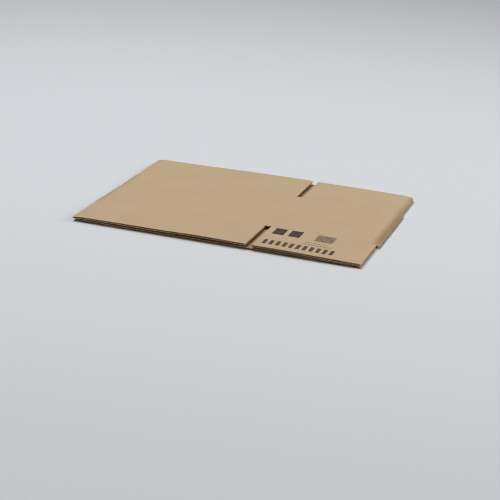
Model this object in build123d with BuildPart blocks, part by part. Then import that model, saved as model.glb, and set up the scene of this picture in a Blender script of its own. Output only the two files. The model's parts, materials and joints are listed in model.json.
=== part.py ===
"""Flattened corrugated box: one slotted blank, folded flat and glued.

Four side panels (long, short, long, short), a flap at each end of every panel
and a glue tab along one side. Folded flat, two opposite panel creases become
the left and right folds, and the other two lie inside the layers:

    upper layer   long panel | short panel      crease at x = +50
    lower layer   short panel | long panel      glued seam at x = -50

The flutes run along Y, so they are open on the front and back edges.
X runs along the long edges, Z is up, the underside lies on z = 0 and the
origin is in the middle of the underside. Millimetres.
"""

import os
from math import atan2, cos, floor, hypot, pi, sin

from build123d import *

# ---------------------------------------------------------------- dimensions
panel_long = 250.0          # long side panel, crease to crease
panel_short = 150.0         # short side panel, crease to crease
panel_height = 130.0        # between the two flap creases
flap_length = 75.0          # half the box's inner width: the flaps meet
slot_width = 8.0            # between neighbouring flaps
board = 3.0                 # single-wall board, over both liners
liner = 0.3                 # each facing sheet
medium = 0.25               # the wavy sheet between them
flute_pitch = 6.4           # crest to crest
glue_line = 0.7             # half width of the bond at a flute's crest
fold_gap = 0.8              # between the layers next to a fold
crest_rise = 1.4            # the upper layer springs up this far at its crease
nose_depth = 9.5            # about this near a fold the flutes are crushed flat
nose_height = 2.2           # fullness of the fold's nose
fold_bead = 1.8             # board left outside the inner end of the gap
tab_width = 30.0            # glue tab
tab_board = 1.2             # the tab is pressed flat when it is glued
tab_taper = 14.0            # its ends are cut back over this length
seam_gap = 1.2              # between the glued panel's edge and the tab's crease
seam_gap_flaps = 2.0        # the same between the flaps
crease_width = 3.2          # pressed line of a flap crease
crease_depth = 0.18         # how far it dents the outer sheet
blunt_corner = 7.0          # worn rear right corner of the upper layer

# ------------------------------------------------------------- derived sizes
flat_width = panel_long + panel_short                 # 400
flat_depth = panel_height + 2 * flap_length           # 280
half_w = flat_width / 2
half_d = flat_depth / 2
half_h = panel_height / 2
crease_x = -half_w + panel_long                       # +50, upper layer
seam_x = -half_w + panel_short                        # -50, lower layer
half_slot = slot_width / 2
flap_edge = half_w - half_slot                        # flaps end here at a fold


class Board:
    """A straight stretch of board seen from the front.

    u runs along it from its start point, n goes from its lower to its upper
    face. The medium has a crest at u = phase.
    """

    def __init__(self, start, end, phase, thick=board):
        self.start = start
        run = hypot(end[0] - start[0], end[1] - start[1])
        self.length = run
        self.angle = atan2(end[1] - start[1], end[0] - start[0])
        self.dir = (cos(self.angle), sin(self.angle))
        self.phase = phase
        self.thick = thick

    def at(self, u, n):
        dx, dz = self.dir
        return (self.start[0] + u * dx - n * dz, self.start[1] + u * dz + n * dx)

    def turn(self, near):
        """The crest or trough of the medium nearest to a place along the board."""
        return self.phase + round(2 * (near - self.phase) / flute_pitch) * flute_pitch / 2

    def corners(self, u0, u1):
        return [self.at(u0, 0), self.at(u1, 0), self.at(u1, self.thick), self.at(u0, self.thick)]

    def voids(self, u0, u1, cut0=False, cut1=False):
        """Point lists of the hollow flutes between u0 and u1.

        A flute that runs over an end is kept only where that end is a cut
        edge; next to a crease it is crushed shut.
        """
        swing = (self.thick - 2 * liner - medium) / 2
        mid = self.thick / 2
        found = []
        for side in (1, -1):
            # above the medium the hollows lie between its crests,
            # below it between its troughs
            shift = self.phase + (0 if side == 1 else flute_pitch / 2)
            k = floor((u0 - shift) / flute_pitch) - 1
            while shift + k * flute_pitch < u1:
                a = shift + k * flute_pitch + glue_line
                b = shift + (k + 1) * flute_pitch - glue_line
                k += 1
                if (a < u0 and not cut0) or (b > u1 and not cut1):
                    continue
                if b < u0 + 0.4 or a > u1 - 0.4:
                    continue
                steps = 7
                wave = []
                for i in range(steps):
                    u = b + (a - b) * i / (steps - 1)
                    turn = 2 * pi * (u - shift) / flute_pitch
                    slope = swing * 2 * pi / flute_pitch * sin(turn)
                    n = swing * cos(turn) + medium / 2 * hypot(1, slope)
                    wave.append(self.at(u, mid + side * min(n, mid - liner - 0.08)))
                face_n = mid + side * (mid - liner)
                found.append(([self.at(a, face_n), self.at(b, face_n)], wave))
        return found


def cut_voids(voids):
    """Take the hollow flutes out of the sketch that is being made."""
    faces = []
    for flat, wave in voids:
        with BuildLine(mode=Mode.PRIVATE) as hollow:
            Line(flat[0], flat[1])
            Line(flat[1], wave[0])
            Spline(*wave)
            Line(wave[-1], flat[0])
        faces.append(Face(hollow.wire()))
    add(faces, mode=Mode.SUBTRACT)


# ------------------------------------------------- the four stretches of board
z_fold = board + fold_gap
z_tip = (board + z_fold) / 2
upper_left = Board((-half_w, z_fold), (crease_x, z_fold + crest_rise), 5.6)
upper_right = Board((crease_x, z_fold + crest_rise), (half_w, z_fold), 2.4)
lower_left = Board((-half_w, 0.0), (seam_x - seam_gap / 2, 0.0), 5.6)
lower_right = Board((seam_x + seam_gap_flaps - seam_gap / 2, 0.0), (half_w, 0.0), 4.8)
tab = Board((seam_x - tab_width, board), (seam_x - 3.0, board), 1.0, tab_board)

# where each one starts and ends, with the fold strips left out
ul = (upper_left.turn(nose_depth), upper_left.length - half_slot)
ur = (half_slot, upper_right.turn(upper_right.length - nose_depth))
ll = (lower_left.turn(nose_depth), lower_left.length)
lr = (0.0, lower_right.turn(lower_right.length - nose_depth))

with BuildPart() as flattened_box:
    # upper layer, long panel with its two flaps
    with BuildSketch(Plane.XZ):
        with BuildLine():
            Polyline(*upper_left.corners(*ul), close=True)
        make_face()
        cut_voids(upper_left.voids(*ul, cut0=True, cut1=True))
    extrude(amount=half_d, both=True)

    # upper layer, short panel with its two flaps
    with BuildSketch(Plane.XZ):
        with BuildLine():
            Polyline(*upper_right.corners(*ur), close=True)
        make_face()
        cut_voids(upper_right.voids(*ur, cut0=True, cut1=True))
    extrude(amount=half_d, both=True)

    # lower layer, short panel with its two flaps, up to the glued seam
    with BuildSketch(Plane.XZ):
        with BuildLine():
            Polyline(*lower_left.corners(*ll), close=True)
        make_face()
        cut_voids(lower_left.voids(*ll, cut0=True, cut1=True))
    extrude(amount=half_d, both=True)

    # lower layer, long panel with its two flaps
    with BuildSketch(Plane.XZ):
        with BuildLine():
            Polyline(*lower_right.corners(*lr), close=True)
        make_face()
        cut_voids(lower_right.voids(*lr, cut0=True, cut1=True))
    extrude(amount=half_d, both=True)

    # crease between the two upper panels, pressed in on the inner side
    with BuildSketch(Plane.XZ):
        a0, a1 = upper_left.at(ul[1], 0), upper_left.at(ul[1], board)
        b0, b1 = upper_right.at(ur[0], 0), upper_right.at(ur[0], board)
        with BuildLine():
            Spline(a1, (crease_x, a1[1] - 0.12), b1, tangents=[upper_left.dir, upper_right.dir])
            Line(b1, b0)
            Spline(b0, (crease_x, b0[1] + 0.9), a0,
                   tangents=[(-upper_right.dir[0], -upper_right.dir[1]),
                             (-upper_left.dir[0], -upper_left.dir[1])])
            Line(a0, a1)
        make_face()
    extrude(amount=half_h, both=True)

    # the two folds: the outer face runs round a nose, the flutes are crushed
    for side, upper, u_top, lower, u_low in (
        (1, upper_right, ur[1], lower_right, lr[1]),
        (-1, upper_left, ul[0], lower_left, ll[0]),
    ):
        with BuildSketch(Plane.XZ):
            top, top_in = upper.at(u_top, board), upper.at(u_top, 0)
            low, low_in = lower.at(u_low, 0), lower.at(u_low, board)
            out = (side * upper.dir[0], side * upper.dir[1])
            tip = side * half_w
            w_top, w_low = abs(tip - top[0]), abs(tip - low[0])
            with BuildLine():
                Bezier(top, (top[0] + out[0] * 0.62 * w_top, top[1] + out[1] * 0.62 * w_top),
                       (tip, z_tip + nose_height), (tip, z_tip))
                Bezier((tip, z_tip), (tip, z_tip - nose_height), (low[0] + side * 0.62 * w_low, 0.0), low)
                Line(low, low_in)
                Spline(low_in, (tip - side * fold_bead, z_tip), top_in,
                       tangents=[(side, 0), (-out[0], -out[1])])
                Line(top_in, top)
            make_face()
        extrude(amount=half_h, both=True)

    # edges of the flaps next to the folds: the flutes go on to the cut edge
    for piece, u0, u1 in (
        (upper_left, half_slot, ul[0]),
        (upper_right, ur[1], upper_right.length - half_slot),
        (lower_left, half_slot, ll[0]),
        (lower_right, lr[1], lower_right.length - half_slot),
    ):
        for side in (-1, 1):
            with BuildSketch(Plane.XZ.offset(side * (half_h + flap_length / 2))):
                with BuildLine():
                    Polyline(*piece.corners(u0, u1), close=True)
                make_face()
                cut_voids(piece.voids(u0, u1, cut0=True, cut1=True))
            extrude(amount=flap_length / 2, both=True)

    # glue tab, creased from the long panel's edge and lying on the short one
    with BuildSketch(Plane.XZ):
        left = seam_x - tab_width
        edge = seam_x + seam_gap / 2
        root = lower_right.start[0]
        with BuildLine():
            Line((root, 0.0), (edge + 0.5, 0.0))
            ThreePointArc((edge + 0.5, 0.0), (edge + 0.15, 0.15), (edge, 0.5))
            Polyline((edge, 0.5), (edge, board), (left, board), (left, board + tab_board - 0.3),
                     (left + 0.6, board + tab_board), (seam_x - 3.0, board + tab_board))
            Spline((seam_x - 3.0, board + tab_board), (seam_x + 1.0, board + tab_board - 0.55),
                   (seam_x + 6.0, board), tangents=[(1, 0), (1, -0.1)])
            Polyline((seam_x + 6.0, board), (root, board), (root, 0.0))
        make_face()
        cut_voids(tab.voids(1.5, tab.length - 0.5))
    extrude(amount=half_h - 1.0, both=True)
    # its tapered ends
    with BuildSketch(Plane.XY.offset(board)):
        for side in (-1, 1):
            with BuildLine():
                Polyline((left - 1, side * (half_h - 1.0 - tab_taper)),
                         (left, side * (half_h - 1.0 - tab_taper)),
                         (seam_x - 3.0, side * (half_h - 1.0)),
                         (seam_x - 3.0, side * half_h), (left - 1, side * half_h), close=True)
            make_face()
    extrude(amount=tab_board + 0.05, mode=Mode.SUBTRACT)

    # flap creases: a pressed line across each panel, on the outer faces
    for piece, n, outward, u0, u1 in (
        (upper_left, board, 1, *ul),
        (upper_right, board, 1, *ur),
        (lower_left, 0.0, -1, *ll),
        (lower_right, 0.0, -1, *lr),
    ):
        for side in (-1, 1):
            start = piece.at(u0 + 0.6, n)
            across = Plane(origin=(start[0], side * half_h, start[1]), x_dir=(0, 1, 0),
                           z_dir=(piece.dir[0], 0, piece.dir[1]))
            inward = -outward * (1 if across.y_dir.Z > 0 else -1)
            with BuildSketch(across):
                with BuildLine():
                    Line((-crease_width / 2, 0), (crease_width / 2, 0))
                    ThreePointArc((crease_width / 2, 0), (0, inward * crease_depth), (-crease_width / 2, 0))
                make_face()
            extrude(amount=u1 - u0 - 1.2, mode=Mode.SUBTRACT)

    # worn rear right corner of the upper layer
    corner_z = z_fold - 0.2
    with BuildSketch(Plane.XY.offset(corner_z)):
        cx, cy, r = flap_edge, half_d, blunt_corner
        with BuildLine():
            Polyline((cx - r, cy), (cx - r, cy + 1), (cx + 1, cy + 1), (cx + 1, cy - r), (cx, cy - r))
            ThreePointArc((cx, cy - r), (cx - r * (1 - cos(pi / 4)), cy - r * (1 - cos(pi / 4))), (cx - r, cy))
        make_face()
    extrude(amount=board + 1.5, mode=Mode.SUBTRACT)

flattened_box.part.label = "flattened_box"

print("solids", len(flattened_box.part.solids()), "volume", flattened_box.part.volume,
      "box", flattened_box.part.bounding_box())

os.makedirs("parts", exist_ok=True)
export_step(flattened_box.part, "parts/flattened_box.step")
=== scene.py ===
"""Looks of the flattened corrugated box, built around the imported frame.

The board is made the way it is made in a mill: an outer liner, a wavy medium
and an inner liner, each one a thin closed sheet. All three follow one path,
which runs from the glue tab round both folds to the panel under the tab.
Millimetres here, turned to metres when the meshes are written.
"""

import json
import math

import bpy
import numpy as np
from mathutils import Matrix, Vector

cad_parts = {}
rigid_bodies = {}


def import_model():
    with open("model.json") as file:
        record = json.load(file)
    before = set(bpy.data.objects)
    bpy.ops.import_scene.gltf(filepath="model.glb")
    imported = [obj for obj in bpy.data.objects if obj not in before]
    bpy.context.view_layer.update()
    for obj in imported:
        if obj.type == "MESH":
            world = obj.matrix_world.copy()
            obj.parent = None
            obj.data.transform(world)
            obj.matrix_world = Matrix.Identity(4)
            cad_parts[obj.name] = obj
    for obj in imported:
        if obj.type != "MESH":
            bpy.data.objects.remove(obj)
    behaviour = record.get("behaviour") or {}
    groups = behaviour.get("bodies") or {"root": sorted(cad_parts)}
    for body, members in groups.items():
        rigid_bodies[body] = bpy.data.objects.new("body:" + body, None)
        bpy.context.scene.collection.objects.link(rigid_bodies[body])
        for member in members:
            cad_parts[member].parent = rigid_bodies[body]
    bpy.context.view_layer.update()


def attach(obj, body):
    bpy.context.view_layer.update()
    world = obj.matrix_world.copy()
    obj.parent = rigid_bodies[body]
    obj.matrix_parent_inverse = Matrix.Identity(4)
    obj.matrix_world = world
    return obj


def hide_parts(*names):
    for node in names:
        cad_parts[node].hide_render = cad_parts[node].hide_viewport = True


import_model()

MM = 0.001

# ------------------------------------------------------------------ dimensions
HALF_W, HALF_D, HALF_H = 200.0, 140.0, 65.0
BOARD, LINER, MEDIUM, PITCH = 3.0, 0.32, 0.30, 6.4
Z_FOLD, RISE = 3.8, 1.4
CREASE_X, SEAM_X = 50.0, -50.0
SEAM_GAP, SEAM_GAP_FLAPS = 1.2, 2.0
TAB_W, TAB_BOARD, TAB_TAPER = 30.0, 1.2, 14.0
HALF_SLOT = 4.0
NOSE = 9.5
Z_TIP = (BOARD + Z_FOLD) / 2
BLUNT = 7.0


# ---------------------------------------------------------------- smooth noise
class Waves:
    """A smooth random field of x and y: a sum of long sine waves."""

    def __init__(self, seed, shortest, longest, count=9):
        r = np.random.default_rng(seed)
        size = np.exp(r.uniform(math.log(shortest), math.log(longest), count))
        way = r.uniform(0, 2 * math.pi, count)
        self.kx = 2 * math.pi * np.cos(way) / size
        self.ky = 2 * math.pi * np.sin(way) / size
        self.ph = r.uniform(0, 2 * math.pi, count)
        self.amp = np.sqrt(size / longest)
        self.amp /= np.sqrt((self.amp ** 2).sum() / 2)

    def __call__(self, x, y):
        x, y = np.broadcast_arrays(np.asarray(x, float), np.asarray(y, float))
        t = x[..., None] * self.kx + y[..., None] * self.ky + self.ph
        return (np.sin(t) * self.amp).sum(-1)


warp_up = Waves(11, 60, 240)
warp_low = Waves(12, 70, 260)
nose_wave = Waves(13, 18, 120)
crush_wave = Waves(14, 5, 40)
rag_wave = Waves(15, 1.1, 5, 14)
flute_wave = Waves(16, 14, 90)
flute_size = Waves(17, 9, 60)


def bell(x, width):
    return np.exp(-(x / width) ** 2)


def step(a, b, x):
    t = np.clip((x - a) / (b - a), 0, 1)
    return t * t * (3 - 2 * t)


# ------------------------------------------------------------------- the path
class Board:
    """A straight stretch: u along it, n from its lower to its upper face."""

    def __init__(self, start, end, phase, thick=BOARD):
        self.start = np.array(start, float)
        run = np.array(end, float) - self.start
        self.length = float(np.hypot(*run))
        self.dir = run / self.length
        self.nor = np.array([-self.dir[1], self.dir[0]])
        self.phase, self.thick = phase, thick

    def at(self, u, n):
        u = np.asarray(u, float)[..., None]
        return self.start + u * self.dir + n * self.nor

    def turn(self, near):
        return self.phase + round(2 * (near - self.phase) / PITCH) * PITCH / 2


UL = Board((-HALF_W, Z_FOLD), (CREASE_X, Z_FOLD + RISE), 5.6)
UR = Board((CREASE_X, Z_FOLD + RISE), (HALF_W, Z_FOLD), 2.4)
LL = Board((-HALF_W, 0), (SEAM_X - SEAM_GAP / 2, 0), 5.6)
LR = Board((SEAM_X + SEAM_GAP_FLAPS - SEAM_GAP / 2, 0), (HALF_W, 0), 4.8)
ul0, ul1 = UL.turn(NOSE), UL.length - HALF_SLOT
ur0, ur1 = HALF_SLOT, UR.turn(UR.length - NOSE)
ll0, ll1 = LL.turn(NOSE), LL.length
lr0, lr1 = 0.0, LR.turn(LR.length - NOSE)
LIMITS = {"LR": (0.0, LR.length - HALF_SLOT), "UR": (ur0, UR.length - HALF_SLOT),
          "UL": (HALF_SLOT, ul1), "LL": (HALF_SLOT, ll1)}


def bezier(pts, t):
    a, b, c, d = (np.array(p, float) for p in pts)
    t = np.asarray(t, float)[..., None]
    return a * (1 - t) ** 3 + 3 * b * t * (1 - t) ** 2 + 3 * c * t ** 2 * (1 - t) + d * t ** 3


def lines(lo, hi, count, *keep):
    """Evenly spaced values from lo to hi, with the kept ones exactly among them."""
    v = list(np.linspace(lo, hi, count))
    for k in keep:
        v[min(range(len(v)), key=lambda i: abs(v[i] - k))] = k
    return np.array(sorted(set(v)))


# Each strip is a run of stations along the path. A station has an outer and an
# inner point, a flute phase and a level (0 in the lower layer, 1 in the upper).
# mask(t, y) says where the strip has board.
class Strip:
    def __init__(self, name, outer, inner, phase, level, mask, keys, kind):
        self.name, self.outer, self.inner = name, outer, inner
        self.phase, self.level, self.mask, self.keys, self.kind = phase, level, mask, keys, kind


def straight(name, board, us, outer_up, reverse, level, mask):
    if reverse:
        us = us[::-1]
    top, bot = board.at(us, board.thick), board.at(us, 0.0)
    outer, inner = (top, bot) if outer_up else (bot, top)
    phase = 2 * np.pi * (us - board.phase) / PITCH
    if not outer_up:
        phase = phase + np.pi          # the medium's crest is at the upper face
    keys = [(name, round(float(u), 4)) for u in us]
    return Strip(name, outer, inner, phase, np.full(len(us), float(level)), mask, keys, "board"), us


def nose(name, side, first, last, first_key, last_key, phase0, phase1, n):
    """A fold: from the end of the board before it to the start of the next."""
    t = np.linspace(0, 1, n)
    tip = side * HALF_W
    (o0, i0, d0), (o1, i1, d1) = first, last
    outer, inner = np.zeros((n, 2)), np.zeros((n, 2))
    w0, w1 = abs(tip - o0[0]), abs(tip - o1[0])
    h0, h1 = math.copysign(2.2, o0[1] - Z_TIP), math.copysign(2.2, o1[1] - Z_TIP)
    a = t <= 0.5
    outer[a] = bezier([o0, o0 + d0 * 0.62 * w0, (tip, Z_TIP + h0), (tip, Z_TIP)], t[a] * 2)
    outer[~a] = bezier([(tip, Z_TIP), (tip, Z_TIP + h1), o1 + d1 * 0.62 * w1, o1], t[~a] * 2 - 1)
    tip_in = tip - side * 1.8
    inner[a] = bezier([i0, i0 + d0 * 0.6 * (w0 - 1.8), (tip_in, Z_TIP + math.copysign(0.16, h0)), (tip_in, Z_TIP)], t[a] * 2)
    inner[~a] = bezier([(tip_in, Z_TIP), (tip_in, Z_TIP + math.copysign(0.16, h1)), i1 + d1 * 0.6 * (w1 - 1.8), i1], t[~a] * 2 - 1)
    run = phase1 - phase0
    waves = round((15.0 / PITCH) - (run / (2 * np.pi)) % 1)
    total = run % (2 * np.pi) + 2 * np.pi * max(waves, 1)
    level = step(0.25, 0.75, t)
    if h0 > 0:
        level = 1 - level
    keys = [first_key] + [(name, i) for i in range(1, n - 1)] + [last_key]
    return Strip(name, outer, inner, phase0 + total * t, level, lambda t, y: np.abs(y) < HALF_H, keys, "nose")


def build_strips(pitch_steps, nose_n, crease_n, tab_n):
    """All strips of the path, with so many stations to a flute."""
    strips = []

    def grid(board, lo, hi, *keep):
        n = max(2, int(round((hi - lo) / PITCH * pitch_steps)) + 1)
        return lines(lo, hi, n, *keep)

    inside = lambda y: np.abs(y) < HALF_H
    # lower long panel, from the seam to the right fold, outer face down
    us = grid(LR, 0, LR.length - HALF_SLOT, lr1)
    p1, u1 = straight("LR", LR, us, False, False, 0, lambda u, y: (u < lr1) | ~inside(y))
    # upper short panel, from the right fold to the crease, outer face up
    us = grid(UR, ur0, UR.length - HALF_SLOT, ur1)
    p2, u2 = straight("UR", UR, us, True, True, 1, lambda u, y: (u < ur1) | ~inside(y))
    # upper long panel, from the crease to the left fold
    us = grid(UL, HALF_SLOT, ul1, ul0)
    p3, u3 = straight("UL", UL, us, True, True, 1, lambda u, y: (u > ul0) | ~inside(y))
    # lower short panel, from the left fold to its cut edge at the seam
    us = grid(LL, HALF_SLOT, ll1, ll0)
    p4, u4 = straight("LL", LL, us, False, False, 0, lambda u, y: (u > ll0) | ~inside(y))
    for s, u in ((p1, u1), (p2, u2), (p3, u3), (p4, u4)):
        s.u = u
        strips.append(s)

    def end(strip, board, u, outward):
        i = int(np.argmin(np.abs(strip.u - u)))
        return (strip.outer[i], strip.inner[i], board.dir * outward), strip.keys[i], strip.phase[i]

    # the right and left folds
    f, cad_, fp = end(p1, LR, lr1, 1)
    l, lk_, lp = end(p2, UR, ur1, 1)
    strips.append(nose("NR", 1, f, l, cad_, lk_, fp, -lp, nose_n))
    f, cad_, fp = end(p3, UL, ul0, -1)
    l, lk_, lp = end(p4, LL, ll0, -1)
    strips.append(nose("NL", -1, f, l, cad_, lk_, -fp, lp, nose_n))

    # crease between the upper panels, pressed in on the inner side
    f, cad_, fp = end(p2, UR, ur0, -1)
    l, lk_, lp = end(p3, UL, ul1, 1)
    t = np.linspace(0, 1, crease_n)
    outer = bezier([f[0], f[0] + f[2] * 2.4, l[0] + l[2] * 2.4, l[0]], t)
    inner = bezier([f[1], f[1] + f[2] * 2.4, l[1] + l[2] * 2.4, l[1]], t)
    dip = bell(t - 0.5, 0.17)
    outer[:, 1] -= 0.16 * dip
    inner[:, 1] += 0.95 * dip
    ph = -fp + (((-lp + fp) % (2 * np.pi)) + 2 * np.pi) * t
    keys = [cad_] + [("CR", i) for i in range(1, crease_n - 1)] + [lk_]
    strips.append(Strip("CR", outer, inner, ph, np.ones(crease_n), lambda t, y: inside(y), keys, "crease"))

    # glue tab and the crease that joins it to the long panel
    tab_lo = SEAM_X - TAB_W
    n1 = tab_n
    xs = np.linspace(tab_lo, SEAM_X - 3.0, n1)
    outer = [np.array([x, BOARD]) for x in xs]
    inner = [np.array([x, BOARD + TAB_BOARD]) for x in xs]
    edge = SEAM_X + SEAM_GAP / 2
    turn_outer = [(-50.6, BOARD), (edge - 0.25, BOARD - 0.03), (edge, BOARD - 0.35), (edge, 1.6),
                  (edge, 0.62), (edge + 0.16, 0.17), (edge + 0.6, 0.0)]
    n2 = len(turn_outer)
    q = np.linspace(0, 1, n2 + 2)[1:-1]
    slope = bezier([(SEAM_X - 3.0, BOARD + TAB_BOARD), (SEAM_X + 0.5, BOARD + TAB_BOARD),
                    (SEAM_X + 1.0, BOARD + 0.05), (SEAM_X + 1.4, BOARD)], q)
    outer += [np.array(p, float) for p in turn_outer]
    inner += list(slope)
    outer, inner = np.array(outer), np.array(inner)
    mids = (outer + inner) / 2
    run = np.concatenate([[0], np.cumsum(np.hypot(*np.diff(mids, axis=0).T))])
    ph = 2 * np.pi * (run - 1.0) / PITCH + np.pi
    keys = [("TAB", i) for i in range(len(outer))] + [p1.keys[0]]
    outer = np.vstack([outer, p1.outer[:1]])
    inner = np.vstack([inner, p1.inner[:1]])
    target = p1.phase[0]
    extra = (target - ph[-1]) % (2 * np.pi)
    ph = np.append(ph, ph[-1] + extra)
    s = Strip("TAB", outer, inner, ph, np.zeros(len(outer)), lambda t, y: np.abs(y) < HALF_H - 1, keys, "tab")
    strips.append(s)
    for s in strips:
        if s.kind != "board":
            s.u = np.arange(len(s.outer), dtype=float)
    return strips


def taper_y(x, y):
    """The tab's ends are cut back towards its free edge."""
    limit = (HALF_H - 1.0) - TAB_TAPER * np.clip((SEAM_X - 3.0 - x) / TAB_W, 0, 1)
    return y * limit / (HALF_H - 1.0)


def field(strip, rows):
    """Outer and inner points of every station at every row, with the wear and
    the small unevenness of real board. Arrays of (station, row, xyz)."""
    y = np.broadcast_to(rows, (len(strip.outer), len(rows))).astype(float)
    O = np.repeat(strip.outer[:, None, :], len(rows), 1).astype(float)
    I = np.repeat(strip.inner[:, None, :], len(rows), 1).astype(float)
    x = O[..., 0].copy()
    lev = strip.level[:, None]
    side = np.where(lev > 0.5, 1.0, -1.0)
    # flap creases: pressed from the inside, a shallow line outside
    fold = bell(np.abs(y) - HALF_H, 1.25)
    hump = bell(np.abs(y) - HALF_H, 3.4) - fold
    D = O - I
    if strip.kind != "tab":
        I = I + D * (0.30 * fold)[..., None]
        O = O - D * (0.095 * fold - 0.018 * hump)[..., None]
    # board squeezed a little where it was cut
    cut = bell(HALF_D - np.abs(y), 1.1) * (0.75 + 0.25 * crush_wave(x, y * 0))
    ends = np.zeros_like(x)
    if strip.kind == "board":
        b = LIMITS[strip.name]
        d = np.minimum(strip.u - b[0], b[1] - strip.u)[:, None]
        flapzone = step(HALF_H - 1.0, HALF_H + 2.0, np.abs(y))
        ends = bell(d, 1.5) * flapzone
    press = np.clip(0.055 * cut + 0.12 * ends, 0, 0.17)
    D = O - I
    O, I = O - D * press[..., None], I + D * press[..., None]
    # slow waviness of the layers, none near the folds
    calm = step(0, 26, HALF_W - np.abs(x))
    up = warp_up(x, y) * 0.20 * calm
    flap = np.clip((np.abs(y) - HALF_H) / 75, 0, 1)
    lift = np.where(x < CREASE_X, np.where(y < 0, 0.60, 0.22),
                    np.where(y < 0, 0.30 - 0.004 * (x - CREASE_X), -0.30))
    up = up + lift * flap * calm
    # the upper panels bow up a little between their fold and the crease
    s_bow = np.clip(np.where(x < CREASE_X, (x + HALF_W) / 250, (HALF_W - x) / 150), 0, 1)
    up = up + np.where(x < CREASE_X, 0.55, 0.35) * np.sin(math.pi * s_bow)
    # and are rounded off before they reach the folds, more outside than inside;
    # the flaps less so, but for the worn one at the rear right
    loose = np.where((x > 0) & (y > 0), 0.15, 0.65)
    held = 1 - loose * step(HALF_H - 4, HALF_H + 18, np.abs(y))
    drop = bell(HALF_W - np.abs(x), 14) * held * lev * np.where(x < 0, 1.45, 1.15)
    low = (warp_low(x, y) * 0.06 + 0.06) * calm * step(0.35, 1, flap)
    z = lev * up + (1 - lev) * np.clip(low, 0, None)
    O[..., 1] += z - 1.05 * drop
    I[..., 1] += z - 0.50 * drop
    # the folds aren't quite straight, and the nose has been pressed here and there
    if strip.kind == "nose":
        s = np.sign(O[..., 0])
        near = np.clip((np.abs(O[..., 0]) - 190) / 10, 0, 1) ** 2
        shift = -0.30 * (0.5 + 0.5 * nose_wave(x * 0, y)) * near
        shift = shift - np.where(s < 0, 1.0, 0.0) * bell(y - 8, 42) * near
        wrinkle = 0.05 * crush_wave(O[..., 1] * 5 + O[..., 0], y * 0.25) * near
        O[..., 0] += s * (np.clip(shift, -1.5, 0.05) + wrinkle)
        I[..., 0] += s * np.clip(shift, -1.5, 0.05) * 0.7
        O[..., 1] += 0.06 * crush_wave(O[..., 0] * 3, y * 0.2) * near
    O[..., 1] = np.clip(O[..., 1], 0.0, None)
    yy = y.copy()
    if strip.kind == "tab":
        yy = taper_y(x, y)
    # the lower flaps end a little short of the upper ones
    if strip.name in ("LL", "LR"):
        yy = yy - np.sign(y) * np.where(y < 0, 1.1, 0.5) * flap
        if strip.name == "LL":
            off = np.where(y < 0, 1.6, 0.7) * step(24, 0, strip.u - b[0])[:, None]
        else:
            off = np.where(y < 0, -0.5, -1.2) * step(24, 0, b[1] - strip.u)[:, None]
        off = off * step(0, 0.4, flap)
        O[..., 0] += off
        I[..., 0] += off
    # cut edges aren't perfectly even
    edge = step(HALF_D - 3, HALF_D, np.abs(y))
    yy = yy + np.sign(y) * edge * (-0.10 + 0.10 * nose_wave(x, y) + 0.05 * rag_wave(x, lev * 40))
    P = np.stack([O[..., 0], yy, O[..., 1]], -1)
    Q = np.stack([I[..., 0], yy, I[..., 1]], -1)
    # worn rear right corner of the upper layer: rounded and pressed down
    if strip.name == "UR":
        for A in (P, Q):
            cx, cy = HALF_W - HALF_SLOT - BLUNT, HALF_D - BLUNT
            dx, dy = A[..., 0] - cx, A[..., 1] - cy
            near = (dx > 0) & (dy > 0)
            r = np.hypot(dx, dy)
            m = np.maximum(dx, dy)
            k = np.where(near & (r > 1e-6), m / np.maximum(r, 1e-6), 1.0)
            A[..., 0] = np.where(near, cx + dx * k, A[..., 0])
            A[..., 1] = np.where(near, cy + dy * k, A[..., 1])
            g = step(16, 0, np.hypot(A[..., 0] - 196, A[..., 1] - 140))
            A[..., 2] -= 0.34 * g
        g = step(13, 1, np.hypot(P[..., 0] - 196, P[..., 1] - 140))
        P += (Q - P) * (0.22 * g)[..., None]
    return P, Q


class Shell:
    """A thin closed sheet made of strips that share stations."""

    def __init__(self, rows):
        self.rows = rows
        self.ids, self.A, self.B, self.quads = {}, [], [], []
        self.count = 0

    def add(self, strip, A, B):
        ymid = (self.rows[1:] + self.rows[:-1]) / 2
        for i in range(len(strip.keys) - 1):
            mid = (strip.u[i] + strip.u[i + 1]) / 2
            on = strip.mask(mid, ymid)
            for j in np.nonzero(on)[0]:
                c = []
                for a, b in ((i, j), (i, j + 1), (i + 1, j + 1), (i + 1, j)):
                    key = (strip.keys[a], b)
                    if key not in self.ids:
                        self.ids[key] = self.count
                        self.count += 1
                        self.A.append(A[a, b])
                        self.B.append(B[a, b])
                    c.append(self.ids[key])
                self.quads.append(c)

    def mesh(self, name, flip=False, mats=(0, 0, 0)):
        n = self.count
        q = np.array(self.quads)
        if flip:
            q = q[:, ::-1]
        edges = {}
        for f in q:
            for k in range(4):
                p, r = int(f[k]), int(f[(k + 1) % 4])
                if (r, p) in edges:
                    del edges[(r, p)]
                else:
                    edges[(p, r)] = True
        walls = [(r, p, p + n, r + n) for p, r in edges]
        verts = np.vstack([np.array(self.A), np.array(self.B)]) * MM
        faces = [tuple(int(v) for v in f) for f in q]
        faces += [tuple(int(v) + n for v in f[::-1]) for f in q]
        faces += walls
        me = bpy.data.meshes.new(name)
        me.from_pydata(verts.tolist(), [], faces)
        m = np.concatenate([np.full(len(q), mats[0]), np.full(len(q), mats[1]), np.full(len(walls), mats[2])])
        me.polygons.foreach_set("material_index", m.astype(np.int32))
        smooth = np.concatenate([np.ones(2 * len(q), bool), np.zeros(len(walls), bool)])
        me.polygons.foreach_set("use_smooth", smooth)
        me.update()
        me.set_sharp_from_angle(angle=math.radians(50))
        me.validate()
        return me


def mirrored(v):
    v = sorted(set(v))
    return np.array(sorted([-a for a in v if a > 0] + v))


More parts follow.
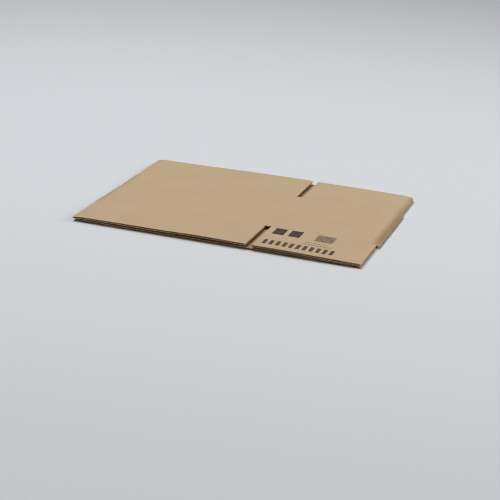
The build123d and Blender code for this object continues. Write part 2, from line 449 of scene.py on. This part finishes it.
LINER_ROWS = mirrored([0, 14, 28, 42, 52, 58, 61, 62.4, 63.4, 64.2, 65, 65.8, 66.6, 67.6, 69, 72, 78, 86, 96, 106,
                       116, 125, 131, 134, 136.4, 138, 139, 139.6, 140])
MEDIUM_ROWS = mirrored([0, 20, 40, 57, 62.5, 64.2, 65, 65.8, 67.5, 75, 92, 110, 127, 137, 139.2, 140])


def normal_offset(A, B, inward):
    """Points a distance inward from A along the line to B, for each point."""
    d = B - A
    length = np.linalg.norm(d, axis=-1, keepdims=True)
    return A + d / np.maximum(length, 1e-6) * np.minimum(inward, 0.46 * length)


def liner(outer):
    shell = Shell(LINER_ROWS)
    for s in build_strips(4, 38, 11, 20):
        P, Q = field(s, LINER_ROWS)
        # the sheet sags a little between the crests that it is glued to
        crest = np.cos(s.phase) * (1 if outer else -1)
        sag = (0.07 * (0.5 - 0.5 * crest))[:, None, None]
        if s.kind != "board":
            sag = sag * 0.3
        A, far = (P, Q) if outer else (Q, P)
        d = far - A
        d = d / np.maximum(np.linalg.norm(d, axis=-1, keepdims=True), 1e-6)
        A = A + d * sag
        yy = np.abs(A[..., 1:2])
        fur = bell(HALF_D - yy, 0.8)
        if s.kind == "board":
            b = LIMITS[s.name]
            d = np.minimum(s.u - b[0], b[1] - s.u)[:, None, None]
            fur = np.maximum(fur, bell(d, 0.8) * step(HALF_H, HALF_H + 1, yy))
        B = normal_offset(A, far, LINER * (1 + 0.45 * fur))
        shell.add(s, A, B)
    return shell


def fluting():
    shell = Shell(MEDIUM_ROWS)
    for s in build_strips(12, 44, 22, 44):
        P, Q = field(s, MEDIUM_ROWS)
        x, y = P[..., 0], P[..., 1]
        D = P - Q
        T = np.linalg.norm(D, axis=-1)
        n = D / np.maximum(T, 1e-6)[..., None]
        room = np.maximum(T / 2 - LINER - MEDIUM / 2 + 0.02, 0.05)
        ph = s.phase[:, None] + 0.10 * flute_wave(x, y)
        size = 1 + 0.02 * flute_size(x, y)
        wave = np.cos(ph)
        # the tips are a little flatter than a sine's where they are glued
        wave = wave * (1.10 - 0.10 * wave ** 2)
        mid = (P + Q) / 2 + n * (room * np.clip(wave * size, -1, 1))[..., None]
        # direction along the wave in the XZ plane, for a sheet of even thickness
        g = np.gradient(mid, axis=0)
        g[..., 1] = 0
        across = np.stack([-g[..., 2], 0 * g[..., 0], g[..., 0]], -1)
        across /= np.maximum(np.linalg.norm(across, axis=-1, keepdims=True), 1e-6)
        same = np.sign((across * n).sum(-1, keepdims=True))
        same[same == 0] = 1
        across = across * same
        half = MEDIUM / 2 * (1 + 0.5 * bell(HALF_D - np.abs(y), 0.8))[..., None]
        A = mid + across * half
        B = mid - across * half
        shell.add(s, A, B)
    return shell


# ------------------------------------------------------------------ materials
class Nodes:
    """Short names for building a node tree."""

    def __init__(self, name):
        self.mat = bpy.data.materials.new(name)
        self.mat.use_nodes = True
        self.t = self.mat.node_tree
        self.t.nodes.clear()
        self.out = self.t.nodes.new("ShaderNodeOutputMaterial")
        self.bsdf = self.t.nodes.new("ShaderNodeBsdfPrincipled")
        self.t.links.new(self.bsdf.outputs[0], self.out.inputs[0])
        tc = self.t.nodes.new("ShaderNodeTexCoord")
        self.pos = tc.outputs["Object"]

    def put(self, socket, value):
        if isinstance(value, bpy.types.NodeSocket):
            self.t.links.new(value, socket)
        elif value is not None:
            socket.default_value = value

    def math(self, op, a, b=None, c=None, clamp=False):
        n = self.t.nodes.new("ShaderNodeMath")
        n.operation = op
        n.use_clamp = clamp
        for i, v in enumerate((a, b, c)):
            if v is not None:
                self.put(n.inputs[i], v)
        return n.outputs[0]

    def scaled(self, x, y, z, of=None):
        n = self.t.nodes.new("ShaderNodeMapping")
        n.inputs["Scale"].default_value = (x, y, z)
        self.put(n.inputs["Vector"], of or self.pos)
        return n.outputs[0]

    def noise(self, vector, scale, detail=2.0, rough=0.5, distort=0.0):
        n = self.t.nodes.new("ShaderNodeTexNoise")
        self.put(n.inputs["Vector"], vector)
        n.inputs["Scale"].default_value = scale
        n.inputs["Detail"].default_value = detail
        n.inputs["Roughness"].default_value = rough
        n.inputs["Distortion"].default_value = distort
        return n.outputs["Fac"]

    def voronoi(self, vector, scale, feature="F1", rand=1.0):
        n = self.t.nodes.new("ShaderNodeTexVoronoi")
        n.feature = feature
        self.put(n.inputs["Vector"], vector)
        n.inputs["Scale"].default_value = scale
        n.inputs["Randomness"].default_value = rand
        return n

    def ramp(self, value, lo, hi, a=0.0, b=1.0, smooth=True):
        n = self.t.nodes.new("ShaderNodeMapRange")
        n.interpolation_type = "SMOOTHSTEP" if smooth else "LINEAR"
        self.put(n.inputs["Value"], value)
        for k, v in (("From Min", lo), ("From Max", hi), ("To Min", a), ("To Max", b)):
            n.inputs[k].default_value = v
        return n.outputs[0]

    def mix(self, fac, a, b, mode="MIX"):
        n = self.t.nodes.new("ShaderNodeMix")
        n.data_type = "RGBA"
        n.blend_type = mode
        self.put(n.inputs[0], fac)
        self.put(n.inputs[6], a)
        self.put(n.inputs[7], b)
        return n.outputs[2]

    def split(self, vector=None):
        n = self.t.nodes.new("ShaderNodeSeparateXYZ")
        self.put(n.inputs[0], vector or self.pos)
        return n.outputs

    def bump(self, height, strength, distance, before=None):
        n = self.t.nodes.new("ShaderNodeBump")
        n.inputs["Strength"].default_value = strength
        n.inputs["Distance"].default_value = distance
        self.put(n.inputs["Height"], height)
        if before is not None:
            self.put(n.inputs["Normal"], before)
        return n.outputs[0]


def srgb(r, g, b):
    def lin(c):
        c /= 255
        return c / 12.92 if c <= 0.04045 else ((c + 0.055) / 1.055) ** 2.4
    return (lin(r), lin(g), lin(b), 1.0)


def ink_marks(n):
    """Plain printed shapes on the right front flap: two blocks, a hatched
    square and rows of dashes. 1 where there is ink."""
    x, y, z = n.split()
    mm = lambda v: v * MM
    total = None

    def soft(value, lo, hi):
        return n.ramp(value, lo - mm(0.22), lo + mm(0.22)), n.ramp(value, hi - mm(0.22), hi + mm(0.22), 1.0, 0.0)

    def box(x0, x1, y0, y1):
        a, b = soft(x, mm(x0), mm(x1))
        c, d = soft(y, mm(y0), mm(y1))
        return n.math("MULTIPLY", n.math("MULTIPLY", a, b), n.math("MULTIPLY", c, d))

    def dashes(coord, period, share, offset=0.0):
        """A square wave along a coordinate, with soft edges."""
        t = n.math("FRACT", n.math("DIVIDE", n.math("ADD", coord, mm(offset)), mm(period)))
        k = 0.22 / period
        return n.math("MULTIPLY", n.ramp(t, 0.0, k), n.ramp(t, share - k, share, 1.0, 0.0))

    def add(v, strength=1.0):
        nonlocal total
        v = n.math("MULTIPLY", v, strength)
        total = v if total is None else n.math("MAXIMUM", total, v)

    # two bold blocks
    add(box(63.5, 79, -91, -68), 1.0)
    add(box(85, 100.5, -91, -68), 1.0)
    # chequered square
    row_a, row_b = dashes(x, 5.2, 0.5), dashes(y, 5.2, 0.5)
    cheque = n.math("ABSOLUTE", n.math("SUBTRACT", row_a, row_b))
    add(n.math("MULTIPLY", box(121.0, 145.0, -92.4, -69.2), n.ramp(cheque, 0, 1, 0.34, 1.0)), 0.94)
    # two thin lines of short dashes
    add(n.math("MULTIPLY", box(111, 141, -102.2, -99.8), dashes(x, 3.4, 0.66)), 0.75)
    add(n.math("MULTIPLY", box(111, 148, -108.6, -106.2), dashes(x, 4.1, 0.70, 1.3)), 0.75)
    # a row of short bars along the edge
    add(n.math("MULTIPLY", box(62, 158, -129.5, -114.0), dashes(x, 8.8, 0.58, 7.4)), 0.95)
    # only on the upper layer's face
    return n.math("MULTIPLY", total, n.math("GREATER_THAN", z, mm(5.6)))


def kraft(name, tone, printed=False, darker=0.0, strength=1.0):
    n = Nodes(name)
    x, y, z = n.split()
    # slow clouds, stock streaks along the mill's direction, fine fibres
    cloud = n.noise(n.scaled(1, 1, 1), 22.0, 3.0, 0.55)
    streak = n.noise(n.scaled(1.0, 9.0, 9.0), 60.0, 3.0, 0.6)
    fibre = n.noise(n.scaled(0.30, 1.0, 1.0), 1500.0, 3.0, 0.65, 0.6)
    fibre2 = n.noise(n.scaled(1.0, 0.42, 1.0), 900.0, 2.0, 0.6, 1.2)
    grain = n.noise(n.scaled(1, 1, 1), 4200.0, 2.0, 0.6)
    base = srgb(*tone)
    dark = tuple(c * 0.86 for c in base[:3]) + (1,)
    light = tuple(min(1, c * 1.10) for c in base[:3]) + (1,)
    col = n.mix(n.ramp(cloud, 0.32, 0.70, 0.0, 0.34), base, dark)
    col = n.mix(n.ramp(streak, 0.40, 0.75, 0.0, 0.30 * strength), col, light)
    col = n.mix(n.ramp(fibre, 0.50, 0.78, 0.0, 0.42 * strength), col, light)
    col = n.mix(n.ramp(fibre2, 0.55, 0.80, 0.0, 0.36 * strength), col, dark)
    col = n.mix(n.ramp(grain, 0.40, 0.85, 0.0, 0.20 * strength), col, dark)
    # dark bark flecks and pale slivers, few and small
    v = n.voronoi(n.scaled(1.0, 1.6, 1.0), 240.0)
    sep = n.split(v.outputs["Color"])
    fleck = n.math("MULTIPLY", n.ramp(v.outputs["Distance"], 0.05, 0.13, 1.0, 0.0),
                   n.math("GREATER_THAN", sep[0], 0.93))
    col = n.mix(n.math("MULTIPLY", fleck, 0.55 * strength), col, tuple(c * 0.42 for c in base[:3]) + (1,))
    v2 = n.voronoi(n.scaled(0.35, 1.5, 1.0), 420.0)
    sep2 = n.split(v2.outputs["Color"])
    sliver = n.math("MULTIPLY", n.ramp(v2.outputs["Distance"], 0.06, 0.20, 1.0, 0.0),
                    n.math("GREATER_THAN", sep2[1], 0.86))
    col = n.mix(n.math("MULTIPLY", sliver, 0.30 * strength), col, tuple(min(1, c * 1.32) for c in base[:3]) + (1,))
    # flutes show through the liner as a very faint washboard, given here as faint stripes of painted shade
    rib = n.math("SINE", n.math("MULTIPLY", x, 2 * math.pi / (PITCH * MM)))
    col = n.mix(n.ramp(rib, -1, 1, 0.0, 0.09), col, dark)
    rough = n.ramp(fibre, 0.3, 0.8, 0.80, 0.93)
    if printed:
        ax, ay = n.math("ABSOLUTE", x), n.math("ABSOLUTE", y)
        wear_and_shade_noise = n.noise(n.scaled(1, 1, 1), 90.0, 3.0, 0.6)
        # the stretched paper round the folds is a little darker, and the band also holds painted shade for the rounding
        # that turns away from the light: full on the right fold and along the rear right flap, weak on the left, a
        # little weaker at the front end
        fold_tint_and_shade = n.ramp(ax, 0.1860, 0.1975)
        inner = n.math("MULTIPLY", n.ramp(ay, 0.0650, 0.0662, 1.0, 0.0), n.ramp(y, -0.068, -0.045, 0.65, 1.0))
        corner = n.math("MULTIPLY", n.math("GREATER_THAN", x, 0.0), n.ramp(y, 0.050, 0.085, 1.0, 0.75))
        corner = n.math("MULTIPLY", corner, n.math("GREATER_THAN", y, 0.0))
        fold_tint_and_shade = n.math("MULTIPLY", fold_tint_and_shade, n.math("MAXIMUM", inner, corner))
        fold_tint_and_shade = n.math("MULTIPLY", fold_tint_and_shade, n.ramp(x, -0.05, 0.05, 0.28, 1.0))
        fold_tint_and_shade = n.math("MULTIPLY", fold_tint_and_shade, n.ramp(wear_and_shade_noise, 0.3, 0.7, 0.75, 1.0))
        col = n.mix(fold_tint_and_shade, col, (base[0] * 0.50, base[1] * 0.46, base[2] * 0.39, 1))
        # so is the pressed line of the flap creases, a little
        off = n.math("ABSOLUTE", n.math("SUBTRACT", ay, HALF_H * MM))
        line = n.ramp(off, 0.0003, 0.0013, 1.0, 0.0)
        col = n.mix(n.math("MULTIPLY", line, 0.20), col, dark)
        # cut edges and a few rubbed places are paler
        worn = n.math("MULTIPLY", n.ramp(ay, 0.1388, 0.1399), n.ramp(wear_and_shade_noise, 0.35, 0.65, 0.2, 0.9))
        col = n.mix(n.math("MULTIPLY", worn, 0.60), col, tuple(min(1, c * 1.28) for c in base[:3]) + (1,))
        scuff = n.noise(n.scaled(1.0, 4.5, 1.0), 38.0, 4.0, 0.72, 0.8)
        col = n.mix(n.ramp(scuff, 0.66, 0.74, 0.0, 0.16), col, light)
        # three small spots on the long upper panel
        for sx, sy, size, deep in ((-46.2, -61.4, 1.3, 0.30), (-19.8, -66.8, 1.1, 0.26), (-75.8, -109.4, 1.2, 0.28)):
            dx = n.math("SUBTRACT", x, sx * MM)
            dy = n.math("SUBTRACT", y, sy * MM)
            far = n.math("SQRT", n.math("ADD", n.math("MULTIPLY", dx, dx), n.math("MULTIPLY", dy, dy)))
            spot = n.math("MULTIPLY", n.ramp(far, size * 0.35 * MM, size * MM, 1.0, 0.0),
                          n.math("GREATER_THAN", z, 0.0045))
            col = n.mix(n.math("MULTIPLY", spot, deep), col, tuple(c * 0.45 for c in base[:3]) + (1,))
    if printed:
        ink = ink_marks(n)
        # ink sits in the paper: it breaks up a little on the fibres
        gaps = n.ramp(fibre, 0.44, 0.72, 1.0, 0.88)
        wear = n.ramp(n.noise(n.scaled(1, 1, 1), 700.0, 3.0, 0.7), 0.35, 0.62, 1.0, 0.93)
        ink = n.math("MULTIPLY", ink, n.math("MULTIPLY", gaps, wear))
        col = n.mix(ink, col, srgb(38, 26, 20))
    if darker:
        col = n.mix(darker, col, (0.02, 0.013, 0.008, 1))
    n.put(n.bsdf.inputs["Base Color"], col)
    n.put(n.bsdf.inputs["Roughness"], rough)
    n.bsdf.inputs["Specular IOR Level"].default_value = 0.22
    n.bsdf.inputs["Sheen Weight"].default_value = 0.08
    n.bsdf.inputs["Sheen Roughness"].default_value = 0.6
    h = n.math("ADD", n.math("MULTIPLY", fibre, 0.6), n.math("MULTIPLY", grain, 0.4))
    b = n.bump(h, 0.35 * strength, 0.00006)
    b = n.bump(streak, 0.25, 0.00010, b)
    b = n.bump(cloud, 0.30, 0.0004, b)
    n.put(n.bsdf.inputs["Normal"], b)
    return n.mat


def cut_edge(name):
    """Torn fibres on the cut edges of the three papers."""
    n = Nodes(name)
    fuzz = n.noise(n.scaled(1, 1, 3.0), 2600.0, 4.0, 0.7)
    patch = n.noise(n.scaled(1, 1, 1), 260.0, 2.0, 0.5)
    col = n.mix(n.ramp(fuzz, 0.35, 0.72), srgb(212, 181, 144), srgb(240, 217, 182))
    col = n.mix(n.ramp(patch, 0.4, 0.7, 0.0, 0.35), col, srgb(172, 140, 106))
    n.put(n.bsdf.inputs["Base Color"], col)
    n.bsdf.inputs["Roughness"].default_value = 0.95
    n.bsdf.inputs["Specular IOR Level"].default_value = 0.12
    n.put(n.bsdf.inputs["Normal"], n.bump(fuzz, 0.6, 0.00012))
    return n.mat


KRAFT = (190, 165, 133)
mat_face = kraft("kraft_face", KRAFT, printed=True)
# the box's inside face: a darker stock than the outside, darkened further as painted shade for the gap between the
# layers and the slot floors
mat_inside = kraft("kraft_inside", (172, 140, 104), strength=1.1)
# the liners' backs inside the flutes: a dark kraft that is painted shade for the closed cavities
mat_painted_shade = kraft("kraft_painted_shade", (130, 99, 68), strength=1.1)
# the fluting: a darker recycled paper, and darker still as painted shade for the flute cavities
mat_medium = kraft("kraft_medium", (144, 110, 77), strength=1.2)
mat_cut = cut_edge("cut_paper")


# --------------------------------------------------------------------- pieces
def piece(name, mesh, mats):
    for m in mats:
        mesh.materials.append(m)
    o = bpy.data.objects.new(name, mesh)
    bpy.context.scene.collection.objects.link(o)
    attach(o, "root")
    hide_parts("flattened_box")
    return o


outer_liner = piece("outer_liner", liner(True).mesh("outer_liner", False, (0, 1, 2)), [mat_face, mat_painted_shade, mat_cut])
inner_liner = piece("inner_liner", liner(False).mesh("inner_liner", True, (0, 1, 2)), [mat_inside, mat_painted_shade, mat_cut])
flute_sheet = piece("fluted_medium", fluting().mesh("fluted_medium", False, (0, 0, 1)), [mat_medium, mat_cut])

for o in (outer_liner, inner_liner, flute_sheet):
    print(o.name, "triangles", sum(len(p.vertices) - 2 for p in o.data.polygons))

# ---------------------------------------------------------------------- stage
me = bpy.data.meshes.new("floor")
S = 6.0
R, seg = 1.6, 24
back = 3.2
prof = [(-S, 0.0), (back, 0.0)]
for i in range(1, seg + 1):
    a = math.pi / 2 * i / seg
    prof.append((back + R * math.sin(a), R * (1 - math.cos(a))))
prof.append((back + R, 6.0))
verts, faces = [], []
for yv, zv in prof:
    verts += [(-S, yv, zv - 0.00002), (S, yv, zv - 0.00002)]
for i in range(len(prof) - 1):
    faces.append((2 * i, 2 * i + 1, 2 * i + 3, 2 * i + 2))
me.from_pydata(verts, [], faces)
for p in me.polygons:
    p.use_smooth = True
me.update()
floor = bpy.data.objects.new("floor", me)
bpy.context.scene.collection.objects.link(floor)
# the backdrop faces the camera
floor.rotation_euler = (0, 0, math.radians(19.4))
fm = bpy.data.materials.new("floor_paper")
fm.use_nodes = True
fb = fm.node_tree.nodes["Principled BSDF"]
fb.inputs["Base Color"].default_value = (0.664, 0.686, 0.722, 1)
fb.inputs["Roughness"].default_value = 0.9
fb.inputs["Specular IOR Level"].default_value = 0.1
me.materials.append(fm)


def area(name, at, to, size, power, color=(1, 1, 1), size_y=None):
    d = bpy.data.lights.new(name, "AREA")
    d.energy = power
    d.color = color
    d.shape = "RECTANGLE"
    d.size = size
    d.size_y = size_y or size
    o = bpy.data.objects.new(name, d)
    o.location = at
    o.rotation_euler = (Vector(to) - Vector(at)).to_track_quat("-Z", "Y").to_euler()
    bpy.context.scene.collection.objects.link(o)
    return o


area("key", (-0.62, 0.30, 2.4), (-0.05, 0.1, 0), 1.8, 51.5, (0.985, 0.985, 0.985))
area("front", (-0.40, -1.10, 2.3), (-0.05, 0.0, 0), 0.9, 3.5, (0.985, 0.985, 0.985))
area("side", (2.15, 0.55, 0.90), (0.15, 0.05, 0.02), 0.8, 25.0, (1.0, 0.99, 0.97))

world = bpy.data.worlds.new("studio")
bpy.context.scene.world = world
world.use_nodes = True
world.node_tree.nodes["Background"].inputs[0].default_value = (0.97, 0.92, 0.85, 1)
world.node_tree.nodes["Background"].inputs[1].default_value = 0.12

# --------------------------------------------------------------------- camera
yaw, pitch, roll = math.radians(-19.4396), math.radians(21.1969), math.radians(2.2359)
cam_at = Vector((0.5583856, -1.5733354, 0.5902791))
fwd = Vector((math.sin(yaw) * math.cos(pitch), math.cos(yaw) * math.cos(pitch), -math.sin(pitch)))
right = Vector((math.cos(yaw), -math.sin(yaw), 0))
up = right.cross(fwd)
r2 = right * math.cos(roll) + up * math.sin(roll)
u2 = -right * math.sin(roll) + up * math.cos(roll)
cam = bpy.data.cameras.new("camera")
cam.sensor_width = 36.0
cam.lens = 1300.0 / 500.0 * 36.0
cam.clip_start, cam.clip_end = 0.05, 50
co = bpy.data.objects.new("camera", cam)
co.matrix_world = Matrix(((r2.x, u2.x, -fwd.x, cam_at.x), (r2.y, u2.y, -fwd.y, cam_at.y),
                          (r2.z, u2.z, -fwd.z, cam_at.z), (0, 0, 0, 1)))
bpy.context.scene.collection.objects.link(co)
bpy.context.scene.camera = co

bpy.context.scene.cycles.filter_width = 1.0
bpy.context.scene.view_settings.view_transform = "Standard"
bpy.context.scene.view_settings.look = "None"
